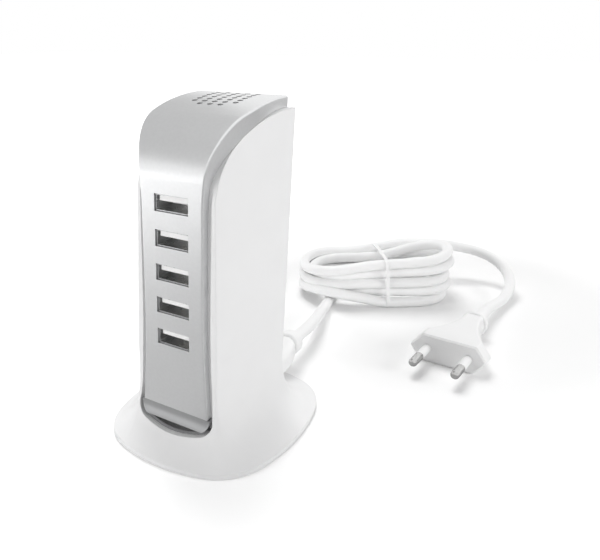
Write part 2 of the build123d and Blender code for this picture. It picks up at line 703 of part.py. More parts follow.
def make_fuse():
    x, z = FUSE_PLACE
    y = MAIN_BOARD_Y - SEAT - FUSE_RADIUS
    sleeve = Pos(x, y, z) * Rot(0, 90, 0) * Cylinder(FUSE_RADIUS, FUSE_LENGTH)
    return fillet(sleeve.edges().filter_by(GeomType.CIRCLE), CAN_EDGE)


def make_y_capacitor():
    x, z = Y_CAP_PLACE
    y = MAIN_BOARD_Y - SEAT - Y_CAP_RADIUS
    disc = Pos(x, y, z) * Rot(0, 90, 0) * Cylinder(Y_CAP_RADIUS, Y_CAP_THICK)
    return fillet(disc.edges().filter_by(GeomType.CIRCLE), CAN_EDGE)


def tube(points, radius, radii):
    """A round tube along straight runs joined by tangent arcs."""
    path = FilletPolyline(*points, radius=radii)
    start = Plane(origin=path @ 0, z_dir=path % 0)
    return sweep(start * Circle(radius), path=path), path.length


def make_dc_wires():
    y0, y1 = USB_BOARD_Y + BOARD + FIT, MAIN_BOARD_Y - FIT
    middle = (DC_WIRE_Z - DC_WIRE_SAG, (y0 + y1) / 2)
    wires = []
    for x in (-DC_WIRE_X, DC_WIRE_X):
        points = [(x, y0, DC_WIRE_Z), (x, middle[1], middle[0]), (x, y1, DC_WIRE_Z)]
        wires.append(tube(points, WIRE_RADIUS, [(y1 - y0) / 2])[0])
    return wires


def make_mains_wires():
    start_y = INLET_FACE_Y - NOSE_LENGTH - FIT - INLET_WALL - 2 * SEAT - INLET_PIN_TAIL
    turn_y = start_y - 4 * WIRE_RADIUS
    wires = []
    for side in (-1, 1):
        x = INLET_X + side * PIN_PITCH / 2
        points = [
            (x, start_y, INLET_Z), (x, turn_y, INLET_Z), (x, turn_y, MAINS_WIRE_LIFT),
            (x - INLET_X, turn_y, MAINS_WIRE_Z), (x - INLET_X, MAIN_BOARD_Y - SEAT, MAINS_WIRE_Z),
        ]
        radii = [2 * WIRE_RADIUS, 4 * WIRE_RADIUS, 3 * WIRE_RADIUS]
        wires.append(tube(points, WIRE_RADIUS, radii)[0])
    return wires


# Inlet and the connector in it
def pin_places():
    return [(INLET_X - PIN_PITCH / 2, INLET_Z), (INLET_X + PIN_PITCH / 2, INLET_Z)]


def make_inlet_body():
    well_y = INLET_FACE_Y - NOSE_LENGTH - FIT
    y0, y1 = well_y - INLET_WALL, INLET_FACE_Y - WALL - SEAT
    half = PIN_PITCH / 2 + NOSE_RADIUS + INLET_WALL
    height = NOSE_RADIUS + INLET_WALL
    shape = block(INLET_X - half, INLET_X + half, y0, y1, INLET_Z - height, INLET_Z + height)
    shape -= figure_eight(NOSE_RADIUS + FIT, well_y, FAR)
    for x, z in pin_places():
        shape -= rod(x, z, -FAR, FAR, INLET_PIN_RADIUS + SEAT / 2)
    # The upper back edge follows the inside of the foot's flare.
    return shape & body(WALL + FIT, WALL + FIT, CHANNEL_DEPTH, FOOT_PROUD)


def make_inlet_pins():
    well_y = INLET_FACE_Y - NOSE_LENGTH - FIT
    y0, y1 = well_y - INLET_WALL - INLET_PIN_TAIL, well_y + INLET_PIN_LENGTH
    return [fillet(rod(x, z, y0, y1, INLET_PIN_RADIUS).edges().sort_by(Axis.Y)[-1], INLET_PIN_RADIUS / 2)
            for x, z in pin_places()]


def ring_section(y, half_width, half_height, corner):
    plane = Plane(origin=(INLET_X, y, INLET_Z), x_dir=(1, 0, 0), z_dir=(0, 1, 0))
    return plane * RectangleRounded(2 * half_width, 2 * half_height, corner)


def make_lead_connector():
    nose = figure_eight(NOSE_RADIUS, INLET_FACE_Y - NOSE_LENGTH, INLET_FACE_Y + 2 * GRIP_GAP)
    for x, z in pin_places():
        nose -= rod(x, z, -FAR, INLET_FACE_Y - FIT, INLET_PIN_RADIUS + FIT)
    y0 = INLET_FACE_Y + GRIP_GAP
    y1 = y0 + GRIP_LENGTH
    y2 = y1 + NECK_LENGTH
    neck_corner = NECK_RADIUS - SEAT
    grip = loft([
        ring_section(y0, GRIP_HALF_WIDTH, GRIP_HALF_HEIGHT, GRIP_CORNER),
        ring_section((y0 + y1) / 2, GRIP_HALF_WIDTH, GRIP_HALF_HEIGHT, GRIP_CORNER),
        ring_section(y1, (GRIP_HALF_WIDTH + NECK_RADIUS) / 2, GRIP_HALF_HEIGHT, GRIP_CORNER),
        ring_section(y2, NECK_RADIUS, NECK_RADIUS, neck_corner),
    ])
    collar = rod(INLET_X, INLET_Z, y2 - SEAT, y2 + COLLAR_LENGTH, COLLAR_RADIUS)
    collar = fillet(collar.edges().filter_by(GeomType.CIRCLE), COLLAR_EDGE)
    return nose + grip + collar


# The lead: tail, hank, tie and the run to the plug
def lead_start():
    length = GRIP_GAP + GRIP_LENGTH + NECK_LENGTH + COLLAR_LENGTH + CORD_GAP
    return (INLET_X, INLET_FACE_Y + length, INLET_Z)


def hank_rim(turn, z):
    """A point on the round end of the hank's outside, just clear of it."""
    end = HANK_HALF_LENGTH - HANK_HALF_WIDTH
    side = 1 if math.cos(math.radians(turn)) > 0 else -1
    reach = HANK_HALF_WIDTH + CORD_GAP
    local_x = side * end + reach * math.cos(math.radians(turn))
    local_y = reach * math.sin(math.radians(turn))
    angle = math.radians(HANK_TURN)
    x = HANK_CENTRE[0] + local_x * math.cos(angle) - local_y * math.sin(angle)
    y = HANK_CENTRE[1] + local_x * math.sin(angle) + local_y * math.cos(angle)
    return (x, y, z)


def bend_radii(points):
    """The largest tangent arc that each bend of a route leaves room for."""
    radii = []
    for a, b, c in zip(points, points[1:], points[2:]):
        before, after = Vector(b) - Vector(a), Vector(c) - Vector(b)
        half_turn = math.radians(before.get_angle(after)) / 2
        radii.append(ARC_SHARE * min(before.length, after.length) / math.tan(half_turn))
    return radii


def make_cord(name, points):
    radii = bend_radii(points)
    solid, length = tube(points, CORD_RADIUS, radii)
    print(name, "length", round(length, 1), "radii", [round(r) for r in radii],
          "volume share", round(solid.volume / (math.pi * CORD_RADIUS ** 2 * length), 4))
    return solid


def hank_place():
    return Pos(HANK_CENTRE[0], HANK_CENTRE[1], 0) * Rot(0, 0, HANK_TURN)


def tie_section(grow):
    """The inside of the tie, seen along the hank: it holds the turns together at the middle."""
    height = (HANK_LOW + HANK_HIGH) / 2 - TIE_THICK - SEAT
    width = 2 * (HANK_HALF_WIDTH + SEAT)
    view = RectangleRounded(width + 2 * grow, height + 2 * grow, HANK_EDGE + grow)
    return Pos(0, TIE_THICK + height / 2) * view


def tie_slab(face, width):
    return extrude(Plane.YZ * face, width / 2, both=True)


def make_cord_hank():
    ring = SlotOverall(2 * HANK_HALF_LENGTH, 2 * HANK_HALF_WIDTH)
    ring -= SlotOverall(2 * (HANK_HALF_LENGTH - HANK_BUNDLE), 2 * (HANK_HALF_WIDTH - HANK_BUNDLE))
    hank = extrude(ring, HANK_HIGH)
    left, right = -HANK_HALF_LENGTH, HANK_HALF_LENGTH
    roof = 2 * HANK_HIGH
    above = make_face(Polyline((left, HANK_LOW), (right, HANK_HIGH), (right, roof), (left, roof), close=True))
    hank -= extrude(Plane.XZ * above, FAR, both=True)
    levels = hank.faces().sort_by(Axis.Z)
    hank = fillet(levels[0].edges() + levels[-1].edges(), HANK_EDGE)
    outside = Rectangle(FAR, FAR) - tie_section(-SEAT)
    return hank_place() * (hank - tie_slab(outside, TIE_WIDTH + 2 * FIT))


def make_hank_tie():
    return hank_place() * tie_slab(tie_section(TIE_THICK) - tie_section(0), TIE_WIDTH)


# Plug, drawn along +Y from its face and then turned into place
def plug_place():
    return Pos(PLUG_X, PLUG_FACE_Y, PLUG_HALF_HEIGHT) * Rot(0, 0, PLUG_TURN)


def plug_section(y, half_width, half_height):
    """Six-sided, with a flat top and bottom and rounded corners."""
    flat_half = half_width * PLUG_TOP_HALF / PLUG_HALF_WIDTH
    right = [(flat_half, half_height), (half_width, 0), (flat_half, -half_height)]
    left = [(-x, z) for x, z in reversed(right)]
    shape = make_face(Polyline(*right, *left, close=True))
    return Plane(origin=(0, y, 0), x_dir=(1, 0, 0), z_dir=(0, -1, 0)) * fillet(shape.vertices(), PLUG_CORNER)


def make_plug_body():
    front = plug_section(PLUG_BEVEL, PLUG_HALF_WIDTH, PLUG_HALF_HEIGHT)
    inner = plug_section(0, PLUG_HALF_WIDTH - PLUG_BEVEL, PLUG_HALF_HEIGHT - PLUG_BEVEL)
    straight = plug_section(PLUG_STRAIGHT, PLUG_HALF_WIDTH, PLUG_HALF_HEIGHT)
    waist = plug_section(PLUG_WAIST_Y, PLUG_WAIST_HALF, PLUG_HALF_HEIGHT - PLUG_BEVEL)
    back = plug_section(PLUG_LENGTH, PLUG_BACK_HALF, PLUG_BACK_HALF)
    shape = loft([inner, front, straight], ruled=True) + loft([straight, waist, back])
    collar_end = PLUG_LENGTH + PLUG_COLLAR_LENGTH
    collar = rod(0, 0, PLUG_LENGTH - SEAT, collar_end, PLUG_COLLAR_RADIUS)
    shape += fillet(collar.edges().filter_by(GeomType.CIRCLE), COLLAR_EDGE)
    relief = Pos(0, collar_end + RELIEF_LENGTH / 2, 0) * Rot(-90, 0, 0)
    shape += relief * Cone(RELIEF_RADIUS, CORD_RADIUS + 2 * FIT, RELIEF_LENGTH)
    return plug_place() * shape


def plug_pin_places():
    return (-PLUG_PIN_PITCH / 2, PLUG_PIN_PITCH / 2)


def make_plug_pins():
    core = PLUG_PIN_RADIUS - SLEEVE_WALL
    pins = []
    for x in plug_pin_places():
        tip = rod(x, 0, -PLUG_PIN_LENGTH, -SLEEVE_LENGTH - SEAT, PLUG_PIN_RADIUS)
        tip = fillet(tip.edges().sort_by(Axis.Y)[0], core)
        pins.append(plug_place() * (tip + rod(x, 0, -SLEEVE_LENGTH - 2 * SEAT, -SEAT, core - SEAT)))
    return pins


def make_pin_sleeves():
    core = PLUG_PIN_RADIUS - SLEEVE_WALL
    return [plug_place() * (rod(x, 0, -SLEEVE_LENGTH, -SEAT, PLUG_PIN_RADIUS)
                            - rod(x, 0, -FAR, FAR, core)) for x in plug_pin_places()]


def lead_end():
    back = plug_place() * Pos(0, PLUG_LENGTH + PLUG_COLLAR_LENGTH + RELIEF_LENGTH + CORD_GAP, 0)
    return tuple(back.position)


# Underside
def make_bottom_plate():
    front_y = lip_y(FLARE_TOP) + CHANNEL_DEPTH + WALL - LIP_SETBACK_LOW
    outline = section(FOOT_PROUD, PLATE_TOP + WALL, WALL + FIT, front_y)
    plate = extrude(Face(outline), PLATE, dir=(0, 0, 1))
    for x, y in four(PAD_X, PAD_Y):
        plate -= peg(x, y, 0, FOOT_PROUD + PAD_RECESS, PAD_RADIUS + FIT)
    for x, y in four(BASE_SCREW_X, BASE_SCREW_Y):
        plate -= peg(x, y, 0, FOOT_PROUD + BASE_HEAD, BASE_HEAD_RADIUS + FIT)
        plate -= peg(x, y, 0, FAR, SCREW_RADIUS + FIT)
    return plate


def make_rubber_feet():
    pads = []
    for x, y in four(PAD_X, PAD_Y):
        pad = peg(x, y, 0, FOOT_PROUD + PAD_RECESS - SEAT, PAD_RADIUS)
        pads.append(fillet(pad.edges().sort_by(Axis.Z)[0], FOOT_PROUD / 2))
    return pads


def make_base_screws():
    seat_z = FOOT_PROUD + BASE_HEAD
    screws = []
    for x, y in four(BASE_SCREW_X, BASE_SCREW_Y):
        head = peg(x, y, FOOT_PROUD, seat_z - SEAT, BASE_HEAD_RADIUS)
        screws.append(head + peg(x, y, FOOT_PROUD, PLATE_TOP + BASE_SCREW_LENGTH - FIT, SCREW_RADIUS - SEAT))
    return screws


def all_parts():
    parts = {
        "housing": make_housing(),
        "front_cover": make_front_cover(),
        "lower_trim": make_lower_trim(),
        "trough_tray": make_trough_tray(),
        "bottom_plate": make_bottom_plate(),
        "rubber_feet": make_rubber_feet(),
        "base_screws": make_base_screws(),
    }
    for i, z in enumerate(PORT_HEIGHTS, 1):
        parts[f"usb_shell_{i}"] = make_usb_shell(z)
        parts[f"usb_tongue_{i}"] = make_usb_tongue(z)
        parts[f"usb_contacts_{i}"] = make_usb_contacts(z)
    parts["usb_board"] = make_usb_board()
    parts["usb_board_screws"] = make_usb_board_screws()
    parts["main_board"] = make_main_board()
    parts["main_board_screws"] = make_main_board_screws()
    parts["transformer_core"] = make_transformer_core()
    parts["transformer_winding"] = make_transformer_winding()
    parts["bulk_capacitors"] = [can(x, z, BULK_RADIUS, BULK_LENGTH) for x, z in BULK_PLACES]
    parts["output_capacitors"] = [can(x, z, OUTPUT_RADIUS, OUTPUT_LENGTH) for x, z in OUTPUT_PLACES]
    parts["bridge_rectifier"] = on_board(*BRIDGE_PLACE, *BRIDGE_SIZE)
    parts["switch_transistor"] = make_switch_transistor()
    parts["heat_sink"] = make_heat_sink()
    parts["line_choke"] = make_line_choke()
    parts["fuse"] = make_fuse()
    parts["y_capacitor"] = make_y_capacitor()
    parts["inlet_body"] = make_inlet_body()
    parts["inlet_pins"] = make_inlet_pins()
    parts["mains_wires"] = make_mains_wires()
    parts["dc_wires"] = make_dc_wires()
    parts["lead_connector"] = make_lead_connector()
    tail_end = hank_rim(TAIL_ENTRY, TAIL_ENTRY_Z)
    parts["cord_tail"] = make_cord("cord_tail", [lead_start()] + TAIL_POINTS + [tail_end])
    parts["cord_hank"] = make_cord_hank()
    parts["hank_tie"] = make_hank_tie()
    lead_begin = hank_rim(LEAD_EXIT, LEAD_EXIT_Z)
    parts["cord_lead"] = make_cord("cord_lead", [lead_begin] + LEAD_POINTS + [lead_end()])
    parts["plug_body"] = make_plug_body()
    parts["plug_pins"] = make_plug_pins()
    parts["pin_sleeves"] = make_pin_sleeves()
    return parts


def main():
    os.makedirs("parts", exist_ok=True)
    for name, shape in all_parts().items():
        if isinstance(shape, list):
            shape = Compound(children=shape)
        export_step(shape, f"parts/{name}.step")


main()
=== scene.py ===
# %% [markdown]
# # A desk charger with five USB sockets
# The solids of the charger come from a CAD model and are already the right size and in the right place.
# This lesson gives them their finishes, winds the mains lead into its hank, and lights the whole thing
# the way a catalogue photograph is lit: on white, with soft shadows.

# %% Load the solids
import math

import bmesh
import bpy
from mathutils import Euler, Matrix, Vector


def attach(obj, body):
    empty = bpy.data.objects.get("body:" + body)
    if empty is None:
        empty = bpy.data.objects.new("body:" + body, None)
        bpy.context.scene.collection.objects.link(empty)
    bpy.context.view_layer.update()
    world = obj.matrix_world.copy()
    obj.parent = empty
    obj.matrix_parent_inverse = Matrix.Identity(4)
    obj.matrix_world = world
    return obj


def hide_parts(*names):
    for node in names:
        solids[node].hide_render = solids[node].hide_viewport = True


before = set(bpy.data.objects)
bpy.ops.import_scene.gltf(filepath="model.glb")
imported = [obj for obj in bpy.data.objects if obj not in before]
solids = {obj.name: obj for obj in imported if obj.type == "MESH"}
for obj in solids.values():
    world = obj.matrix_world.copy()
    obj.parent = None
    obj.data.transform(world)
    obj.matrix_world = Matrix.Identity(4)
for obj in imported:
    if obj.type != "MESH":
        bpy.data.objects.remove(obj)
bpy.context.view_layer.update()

# %% [markdown]
# ## The camera
# The photographer stood to the right of the charger and a little above it, quite close, so the tower
# narrows towards the back. A camera could be aimed with a Track To constraint. A place and two angles
# are plainer, and they were found by fitting the corners of the sockets and the outline of the foot.

# %% Place the camera
CAMERA_PLACE = Vector((0.11788, -0.18838, 0.14324))
CAMERA_SWING = math.radians(33.82)
CAMERA_DROP = math.radians(22.35)
CAMERA_LENS, CAMERA_FILM = 38.05, 36.0    # millimetres
CAMERA_SHIFT = (0.1642, 0.0252)
CAMERA_NEAR = 0.01

camera_data = bpy.data.cameras.new("photo_camera")
camera_data.lens = CAMERA_LENS
camera_data.sensor_width = CAMERA_FILM
camera_data.shift_x, camera_data.shift_y = CAMERA_SHIFT
camera_data.clip_start = CAMERA_NEAR
camera = bpy.data.objects.new("photo_camera", camera_data)
camera.location = CAMERA_PLACE
camera.rotation_euler = Euler((math.pi / 2 - CAMERA_DROP, 0, CAMERA_SWING))
bpy.context.collection.objects.link(camera)
bpy.context.scene.camera = camera
bpy.context.scene.view_settings.view_transform = "Standard"
print("camera", round(CAMERA_PLACE.length, 3), "m from the charger's middle")

# %% [markdown]
# ## The lead
# The mains lead is one round vinyl cord. It leaves the connector behind the tower, runs along the table
# to the hank, goes round it five times, comes out at the far end and bends back to its plug.
# A bevelled curve is the natural thing for it: one spline carries the whole length, and the bevel makes
# it round. The spline is a NURBS curve, so the points pull the line towards them and it stays smooth.
# Its thickness is on its points, not in the bevel's depth, because Blender takes a curve's box from them.

# %% Where the lead runs outside the hank
CORD_RADIUS = 0.0029
CORD_EXIT = (0.0055, 0.0558, 0.0115)
TAIL = [
    CORD_EXIT,
    (0.0055, 0.066, 0.0114), (0.0042, 0.0795, 0.0102), (0.0013, 0.0935, 0.0083),
    (-0.0022, 0.1075, 0.006), (-0.0052, 0.1195, 0.0036),
]
LEAD = [
    (0.0318, 0.2085, 0.0226), (0.0412, 0.2165, 0.0200), (0.0515, 0.2196, 0.0184), (0.0619, 0.2176, 0.0159),
    (0.0704, 0.2112, 0.0126), (0.0755, 0.2017, 0.0086), (0.0760, 0.1915, 0.0052), (0.0750, 0.1805, 0.0042),
    (0.0734, 0.1690, 0.0053), (0.0717, 0.1578, 0.00685), (0.0712, 0.1509, 0.00685),
]
print("the lead lies open at", len(TAIL), "points before the hank and", len(LEAD), "after it")

# %% The hank's own directions
HANK_CENTRE = Vector((0.0095, 0.164, 0))
HANK_SWING = math.radians(33.85)
HANK_ALONG = Vector((math.cos(HANK_SWING), math.sin(HANK_SWING), 0))
HANK_ACROSS = Vector((-HANK_ALONG.y, HANK_ALONG.x, 0))


def in_hank(along, across, height):
    """A point given along and across the hank, and above the table."""
    return HANK_CENTRE + HANK_ALONG * along + HANK_ACROSS * across + Vector((0, 0, height))


print("the hank's middle is", round(HANK_CENTRE.length, 3), "m behind the charger's")

# %% [markdown]
# ### Turns that differ
# Five equal ovals would look machine wound. On the real hank every second turn is shorter on the left,
# longer on the right and pulled to the back, so the turns lie in each other's hollows. They fan out at
# the right-hand end, where nothing holds them. So each turn's reach, width and heights are worked out
# from its number. A helix with noise would wander, but the runs would not nest.

# %% How far a turn reaches
LEFT_REACH, LEFT_DRAWN_IN = 0.0445, 0.0050    # from the hank's middle, and the change at every second turn
RIGHT_REACH, RIGHT_LET_OUT = 0.0355, 0.0030
FRONT_REACH, FRONT_DRAWN_IN = 0.0205, 0.0022
BACK_REACH, BACK_LET_OUT = 0.0178, 0.0046


def reach_left(turn):
    return LEFT_REACH - LEFT_DRAWN_IN * (turn % 2)


def reach_right(turn):
    return RIGHT_REACH + RIGHT_LET_OUT * (turn % 2)


def front_of(turn):
    return FRONT_REACH - FRONT_DRAWN_IN * (turn % 2)


def back_of(turn):
    return BACK_REACH + BACK_LET_OUT * (turn % 2)


print("the turns are", [round(1000 * (reach_left(turn) + reach_right(turn))) for turn in (0, 1)], "mm long")

# %% How high a turn lies
BACK_STEP = 0.0033          # from one turn to the next, in the middle of the back
FRONT_LOW, FRONT_STEP = 0.0030, 0.0055
LEFT_LOW, LEFT_STEP = 0.0055, 0.0029
RIGHT_RISE = [0, 0.0055, 0.0122, 0.0193, 0.0264, 0.0330]    # turn by turn, where they fan out


def turn_heights(turn):
    """Heights in the middle of the back, at the right end, in the middle of the front, at the left end."""
    back, right = CORD_RADIUS + BACK_STEP * turn, CORD_RADIUS + RIGHT_RISE[turn]
    front, left = FRONT_LOW + FRONT_STEP * turn, LEFT_LOW + LEFT_STEP * turn
    return [back, right, front, left]


print("the top turn lies at", [round(1000 * height, 1) for height in turn_heights(4)], "mm")

# %% The plan of a turn
END_ANGLES = [math.radians(angle) for angle in (72, 36, 0, -36, -72)]
END_SWELL = 1.07            # a spline cuts the corners between its points by about this much
RUN_SHARES = (0.25, 0.5, 0.75)
TAIL_BULGE = 0.0045         # the lowest turn bulges to the front where the tail runs in under it


def mix(a, b, share):
    return a + (b - a) * share


def round_end(reach, front, back, side):
    """Five points round one end of a turn, from its back to its front."""
    width = (front + back) / 2
    middle = (back - front) / 2
    swell = END_SWELL * width
    return [
        (side * (reach - width + swell * math.cos(angle)), middle + swell * math.sin(angle))
        for angle in END_ANGLES
    ]


def right_end(turn):
    return round_end(reach_right(turn), front_of(turn), back_of(turn), 1)


def left_end(turn):
    """Round the left from the front of this turn to the back of the next one."""
    bulge = TAIL_BULGE if turn == 0 else 0
    return round_end(reach_left(turn), front_of(turn) + bulge, back_of(turn + 1), -1)[::-1]


def straight_run(start, end):
    return [(mix(start[0], end[0], share), mix(start[1], end[1], share)) for share in RUN_SHARES]


def turn_plan(turn):
    """A turn seen from above: round the right, along the front, round the left and along the back."""
    right, left = right_end(turn), left_end(turn)
    return right + straight_run(right[-1], left[0]) + left + straight_run(left[-1], right_end(turn + 1)[0])


print(len(turn_plan(0)), "points to a turn")

# %% Heights round a turn
POINTS_APART = 4            # from one of the given heights to the next
FIRST_POINT = 2             # a turn starts this far past the middle of its back
EASE = 0.8                  # 1 eases in and out of every height, 0 climbs evenly


def height_at(turn, point):
    """The height of one point of a turn, between the heights that the turn is given."""
    heights = turn_heights(turn) + turn_heights(turn + 1)
    place = (point + FIRST_POINT) / POINTS_APART
    low = int(place)
    share = place - low
    eased = share * share * (3 - 2 * share)
    return mix(heights[low], heights[low + 1], mix(share, eased, EASE))


print("the lowest turn starts", round(1000 * height_at(0, 0), 1), "mm above the table")

# %% Wind the hank
TURNS = 5
LAST_BACK_RUN = 3           # points of the last turn that the open lead takes the place of
UNDER_HANK = [
    (-0.0336, -0.0194, CORD_RADIUS), (-0.0282, -0.0054, CORD_RADIUS), (-0.0210, 0.0075, CORD_RADIUS),
    (-0.0115, 0.0152, CORD_RADIUS), (-0.0010, 0.0184, CORD_RADIUS), (0.0105, 0.0194, CORD_RADIUS),
]
LEAVING_HANK = [
    (-0.0165, 0.0228, 0.0180), (-0.0030, 0.0234, 0.0194),
    (0.0090, 0.0236, 0.0218), (0.0210, 0.0236, 0.0238),
]
OVER_TAIL = {7: 0.0064, 8: 0.0092, 9: 0.0090}    # the lowest turn rides over the tail at these points


def hank_points():
    places = list(UNDER_HANK)
    for turn in range(TURNS):
        for point, (along, across) in enumerate(turn_plan(turn)):
            places.append((along, across, height_at(turn, point)))
            if turn == 0 and point in OVER_TAIL:
                places[-1] = (along, across, OVER_TAIL[point])
    places = places[:-LAST_BACK_RUN] + LEAVING_HANK
    return [in_hank(*place) for place in places]


cord_line = [Vector(place) for place in TAIL] + hank_points() + [Vector(place) for place in LEAD]
print("the whole lead has", len(cord_line), "points")

# %% Make the lead
cord_curve = bpy.data.curves.new("mains_lead", "CURVE")
cord_curve.dimensions = "3D"
cord_spline = cord_curve.splines.new("NURBS")
cord_spline.points.add(len(cord_line) - 1)
for point, place in zip(cord_spline.points, cord_line):
    point.co = (*place, 1.0)
    point.radius = CORD_RADIUS
cord_spline.order_u = 3
cord_spline.use_endpoint_u = True
cord_spline.resolution_u = 8
cord_curve.bevel_depth = 1.0
cord_curve.bevel_resolution = 6
cord_curve.use_fill_caps = True
mains_lead = bpy.data.objects.new("mains_lead", cord_curve)
bpy.context.collection.objects.link(mains_lead)
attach(mains_lead, "root")
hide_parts("cord_tail", "cord_hank", "cord_lead")
print("the lead is", round(2000 * CORD_RADIUS, 1), "mm thick")

# %% [markdown]
# ### The tie
# A slim white tie holds the hank at its middle. It is a strap about 2 mm wide, pulled tight and a little
# askew over the turns. It could be a curve with a flat bevel, but a curve twists its profile at tight
# corners, so the strap is a ring of quads laid along an outline, with its edges rounded by a modifier.

# %% Make the tie
TIE_HALF_WIDTH = 0.0010
TIE_THICK = 0.0007
TIE_EDGE = 0.0002
TIE_OUTLINE = [             # along, across and above, for points round the outside of the strap
    (-0.0010, -0.0200, 0.0001), (-0.0011, -0.0240, 0.0004), (-0.0012, -0.0262, 0.0024),
    (-0.0018, -0.0260, 0.0080), (-0.0027, -0.0254, 0.0158), (-0.0036, -0.0248, 0.0238),
    (-0.0041, -0.0238, 0.0273), (-0.0041, -0.0210, 0.0288), (-0.0030, -0.0120, 0.0278),
    (-0.0010, 0.0040, 0.0260), (0.0008, 0.0190, 0.0238), (0.0012, 0.0238, 0.0231),
    (0.0012, 0.0264, 0.0208), (0.0010, 0.0270, 0.0150), (0.0006, 0.0264, 0.0070),
    (0.0002, 0.0240, 0.0020), (0.0000, 0.0200, 0.0001),
]


def inward(number):
    """Square to the outline at one of its points, towards the turns."""
    before, after = TIE_OUTLINE[number - 1], TIE_OUTLINE[(number + 1) % len(TIE_OUTLINE)]
    across, above = after[1] - before[1], after[2] - before[2]
    length = math.hypot(across, above)
    return above / length, -across / length


def strap_ring(build, number):
    along, across, above = TIE_OUTLINE[number]
    in_across, in_above = inward(number)
    inner = (across + TIE_THICK * in_across, above + TIE_THICK * in_above)
    corners = [(-1, (across, above)), (1, (across, above)), (1, inner), (-1, inner)]
    return [build.verts.new(in_hank(along + side * TIE_HALF_WIDTH, *spot)) for side, spot in corners]


def make_tie():
    mesh = bpy.data.meshes.new("hank_strap")
    build = bmesh.new()
    rings = [strap_ring(build, number) for number in range(len(TIE_OUTLINE))]
    for number, ring in enumerate(rings):
        onward = rings[(number + 1) % len(rings)]
        for corner in range(4):
            following = (corner + 1) % 4
            build.faces.new((ring[corner], ring[following], onward[following], onward[corner]))
    bmesh.ops.recalc_face_normals(build, faces=build.faces)
    build.to_mesh(mesh)
    build.free()
    mesh.polygons.foreach_set("use_smooth", [True] * len(mesh.polygons))
    return bpy.data.objects.new("hank_strap", mesh)


hank_strap = make_tie()
bpy.context.collection.objects.link(hank_strap)
strap_edges = hank_strap.modifiers.new("soft_edges", "BEVEL")
strap_edges.width = TIE_EDGE
strap_edges.segments = 2
strap_edges.limit_method = "ANGLE"
strap_round = hank_strap.modifiers.new("round_course", "SUBSURF")
strap_round.levels = strap_round.render_levels = 2
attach(hank_strap, "root")
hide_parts("hank_tie")
print("the strap has", len(TIE_OUTLINE), "corners and is", 2000 * TIE_HALF_WIDTH, "mm wide")

# %% [markdown]
# ## Finishes
# Every finish here is a Principled shader fed by noise. Noise in object coordinates needs no unwrapping
# and has a real size: a noise scale of 1000 has grains of about a millimetre. Three small helpers make
# the three things that a finish needs: an uneven colour, an uneven gloss and a fine relief.

# %% Helpers for finishes
NOISE_LOW, NOISE_HIGH = 0.3, 0.7    # noise seldom leaves this range


def shader_of(finish):
    return finish.node_tree.nodes["Principled BSDF"]


def new_finish(name, colour, roughness, metallic=0.0):
    """A named material whose shader starts with one colour and one gloss."""
    finish = bpy.data.materials.new(name)
    finish.use_nodes = True
    shader = shader_of(finish)
    shader.inputs["Base Color"].default_value = (*colour, 1)
    shader.inputs["Roughness"].default_value = roughness
    shader.inputs["Metallic"].default_value = metallic
    return finish


def grain(finish, scale, stretch=(1, 1, 1), detail=3.0):
    """A noise pattern with grains of about 1/scale metres, longer where stretch is small."""
    nodes, links = finish.node_tree.nodes, finish.node_tree.links
    place = nodes.new("ShaderNodeTexCoord")
    size = nodes.new("ShaderNodeMapping")
    size.inputs["Scale"].default_value = stretch
    noise = nodes.new("ShaderNodeTexNoise")
    noise.inputs["Scale"].default_value = scale
    noise.inputs["Detail"].default_value = detail
    links.new(place.outputs["Object"], size.inputs["Vector"])
    links.new(size.outputs["Vector"], noise.inputs["Vector"])
    return noise.outputs["Fac"]


def uneven_colour(finish, pattern, dark, light):
    nodes, links = finish.node_tree.nodes, finish.node_tree.links
    ramp = nodes.new("ShaderNodeValToRGB")
    ramp.color_ramp.elements[0].position = NOISE_LOW
    ramp.color_ramp.elements[0].color = (*dark, 1)
    ramp.color_ramp.elements[1].position = NOISE_HIGH
    ramp.color_ramp.elements[1].color = (*light, 1)
    links.new(pattern, ramp.inputs["Fac"])
    links.new(ramp.outputs["Color"], shader_of(finish).inputs["Base Color"])


def uneven_gloss(finish, pattern, smooth, rough):
    nodes, links = finish.node_tree.nodes, finish.node_tree.links
    spread = nodes.new("ShaderNodeMapRange")
    spread.inputs["From Min"].default_value = NOISE_LOW
    spread.inputs["From Max"].default_value = NOISE_HIGH
    spread.inputs["To Min"].default_value = smooth
    spread.inputs["To Max"].default_value = rough
    links.new(pattern, spread.inputs["Value"])
    links.new(spread.outputs["Result"], shader_of(finish).inputs["Roughness"])


def relief(finish, pattern, depth, edge=0.0):
    """A fine bump of that depth in metres, over edges that look rounded by that radius."""
    nodes, links = finish.node_tree.nodes, finish.node_tree.links
    bump = nodes.new("ShaderNodeBump")
    bump.inputs["Distance"].default_value = depth
    if edge:
        softened = nodes.new("ShaderNodeBevel")
        softened.samples = 6
        softened.inputs["Radius"].default_value = edge
        links.new(softened.outputs["Normal"], bump.inputs["Normal"])
    links.new(pattern, bump.inputs["Height"])
    links.new(bump.outputs["Normal"], shader_of(finish).inputs["Normal"])


def wear(finish, *pieces):
    """These pieces wear this finish and no other."""
    for piece in pieces:
        piece.data.materials.clear()
        piece.data.materials.append(finish)


def shade(colour, factor):
    return tuple(min(1.0, channel * factor) for channel in colour)


# %% [markdown]
# ### White mouldings
# The housing, the connector and the plug are white plastic straight from the mould: even, faintly
# glossy, with the very fine orange peel that every moulding has. The lead's vinyl is softer and duller.

# %% White plastics
PLASTIC_IOR = 1.5


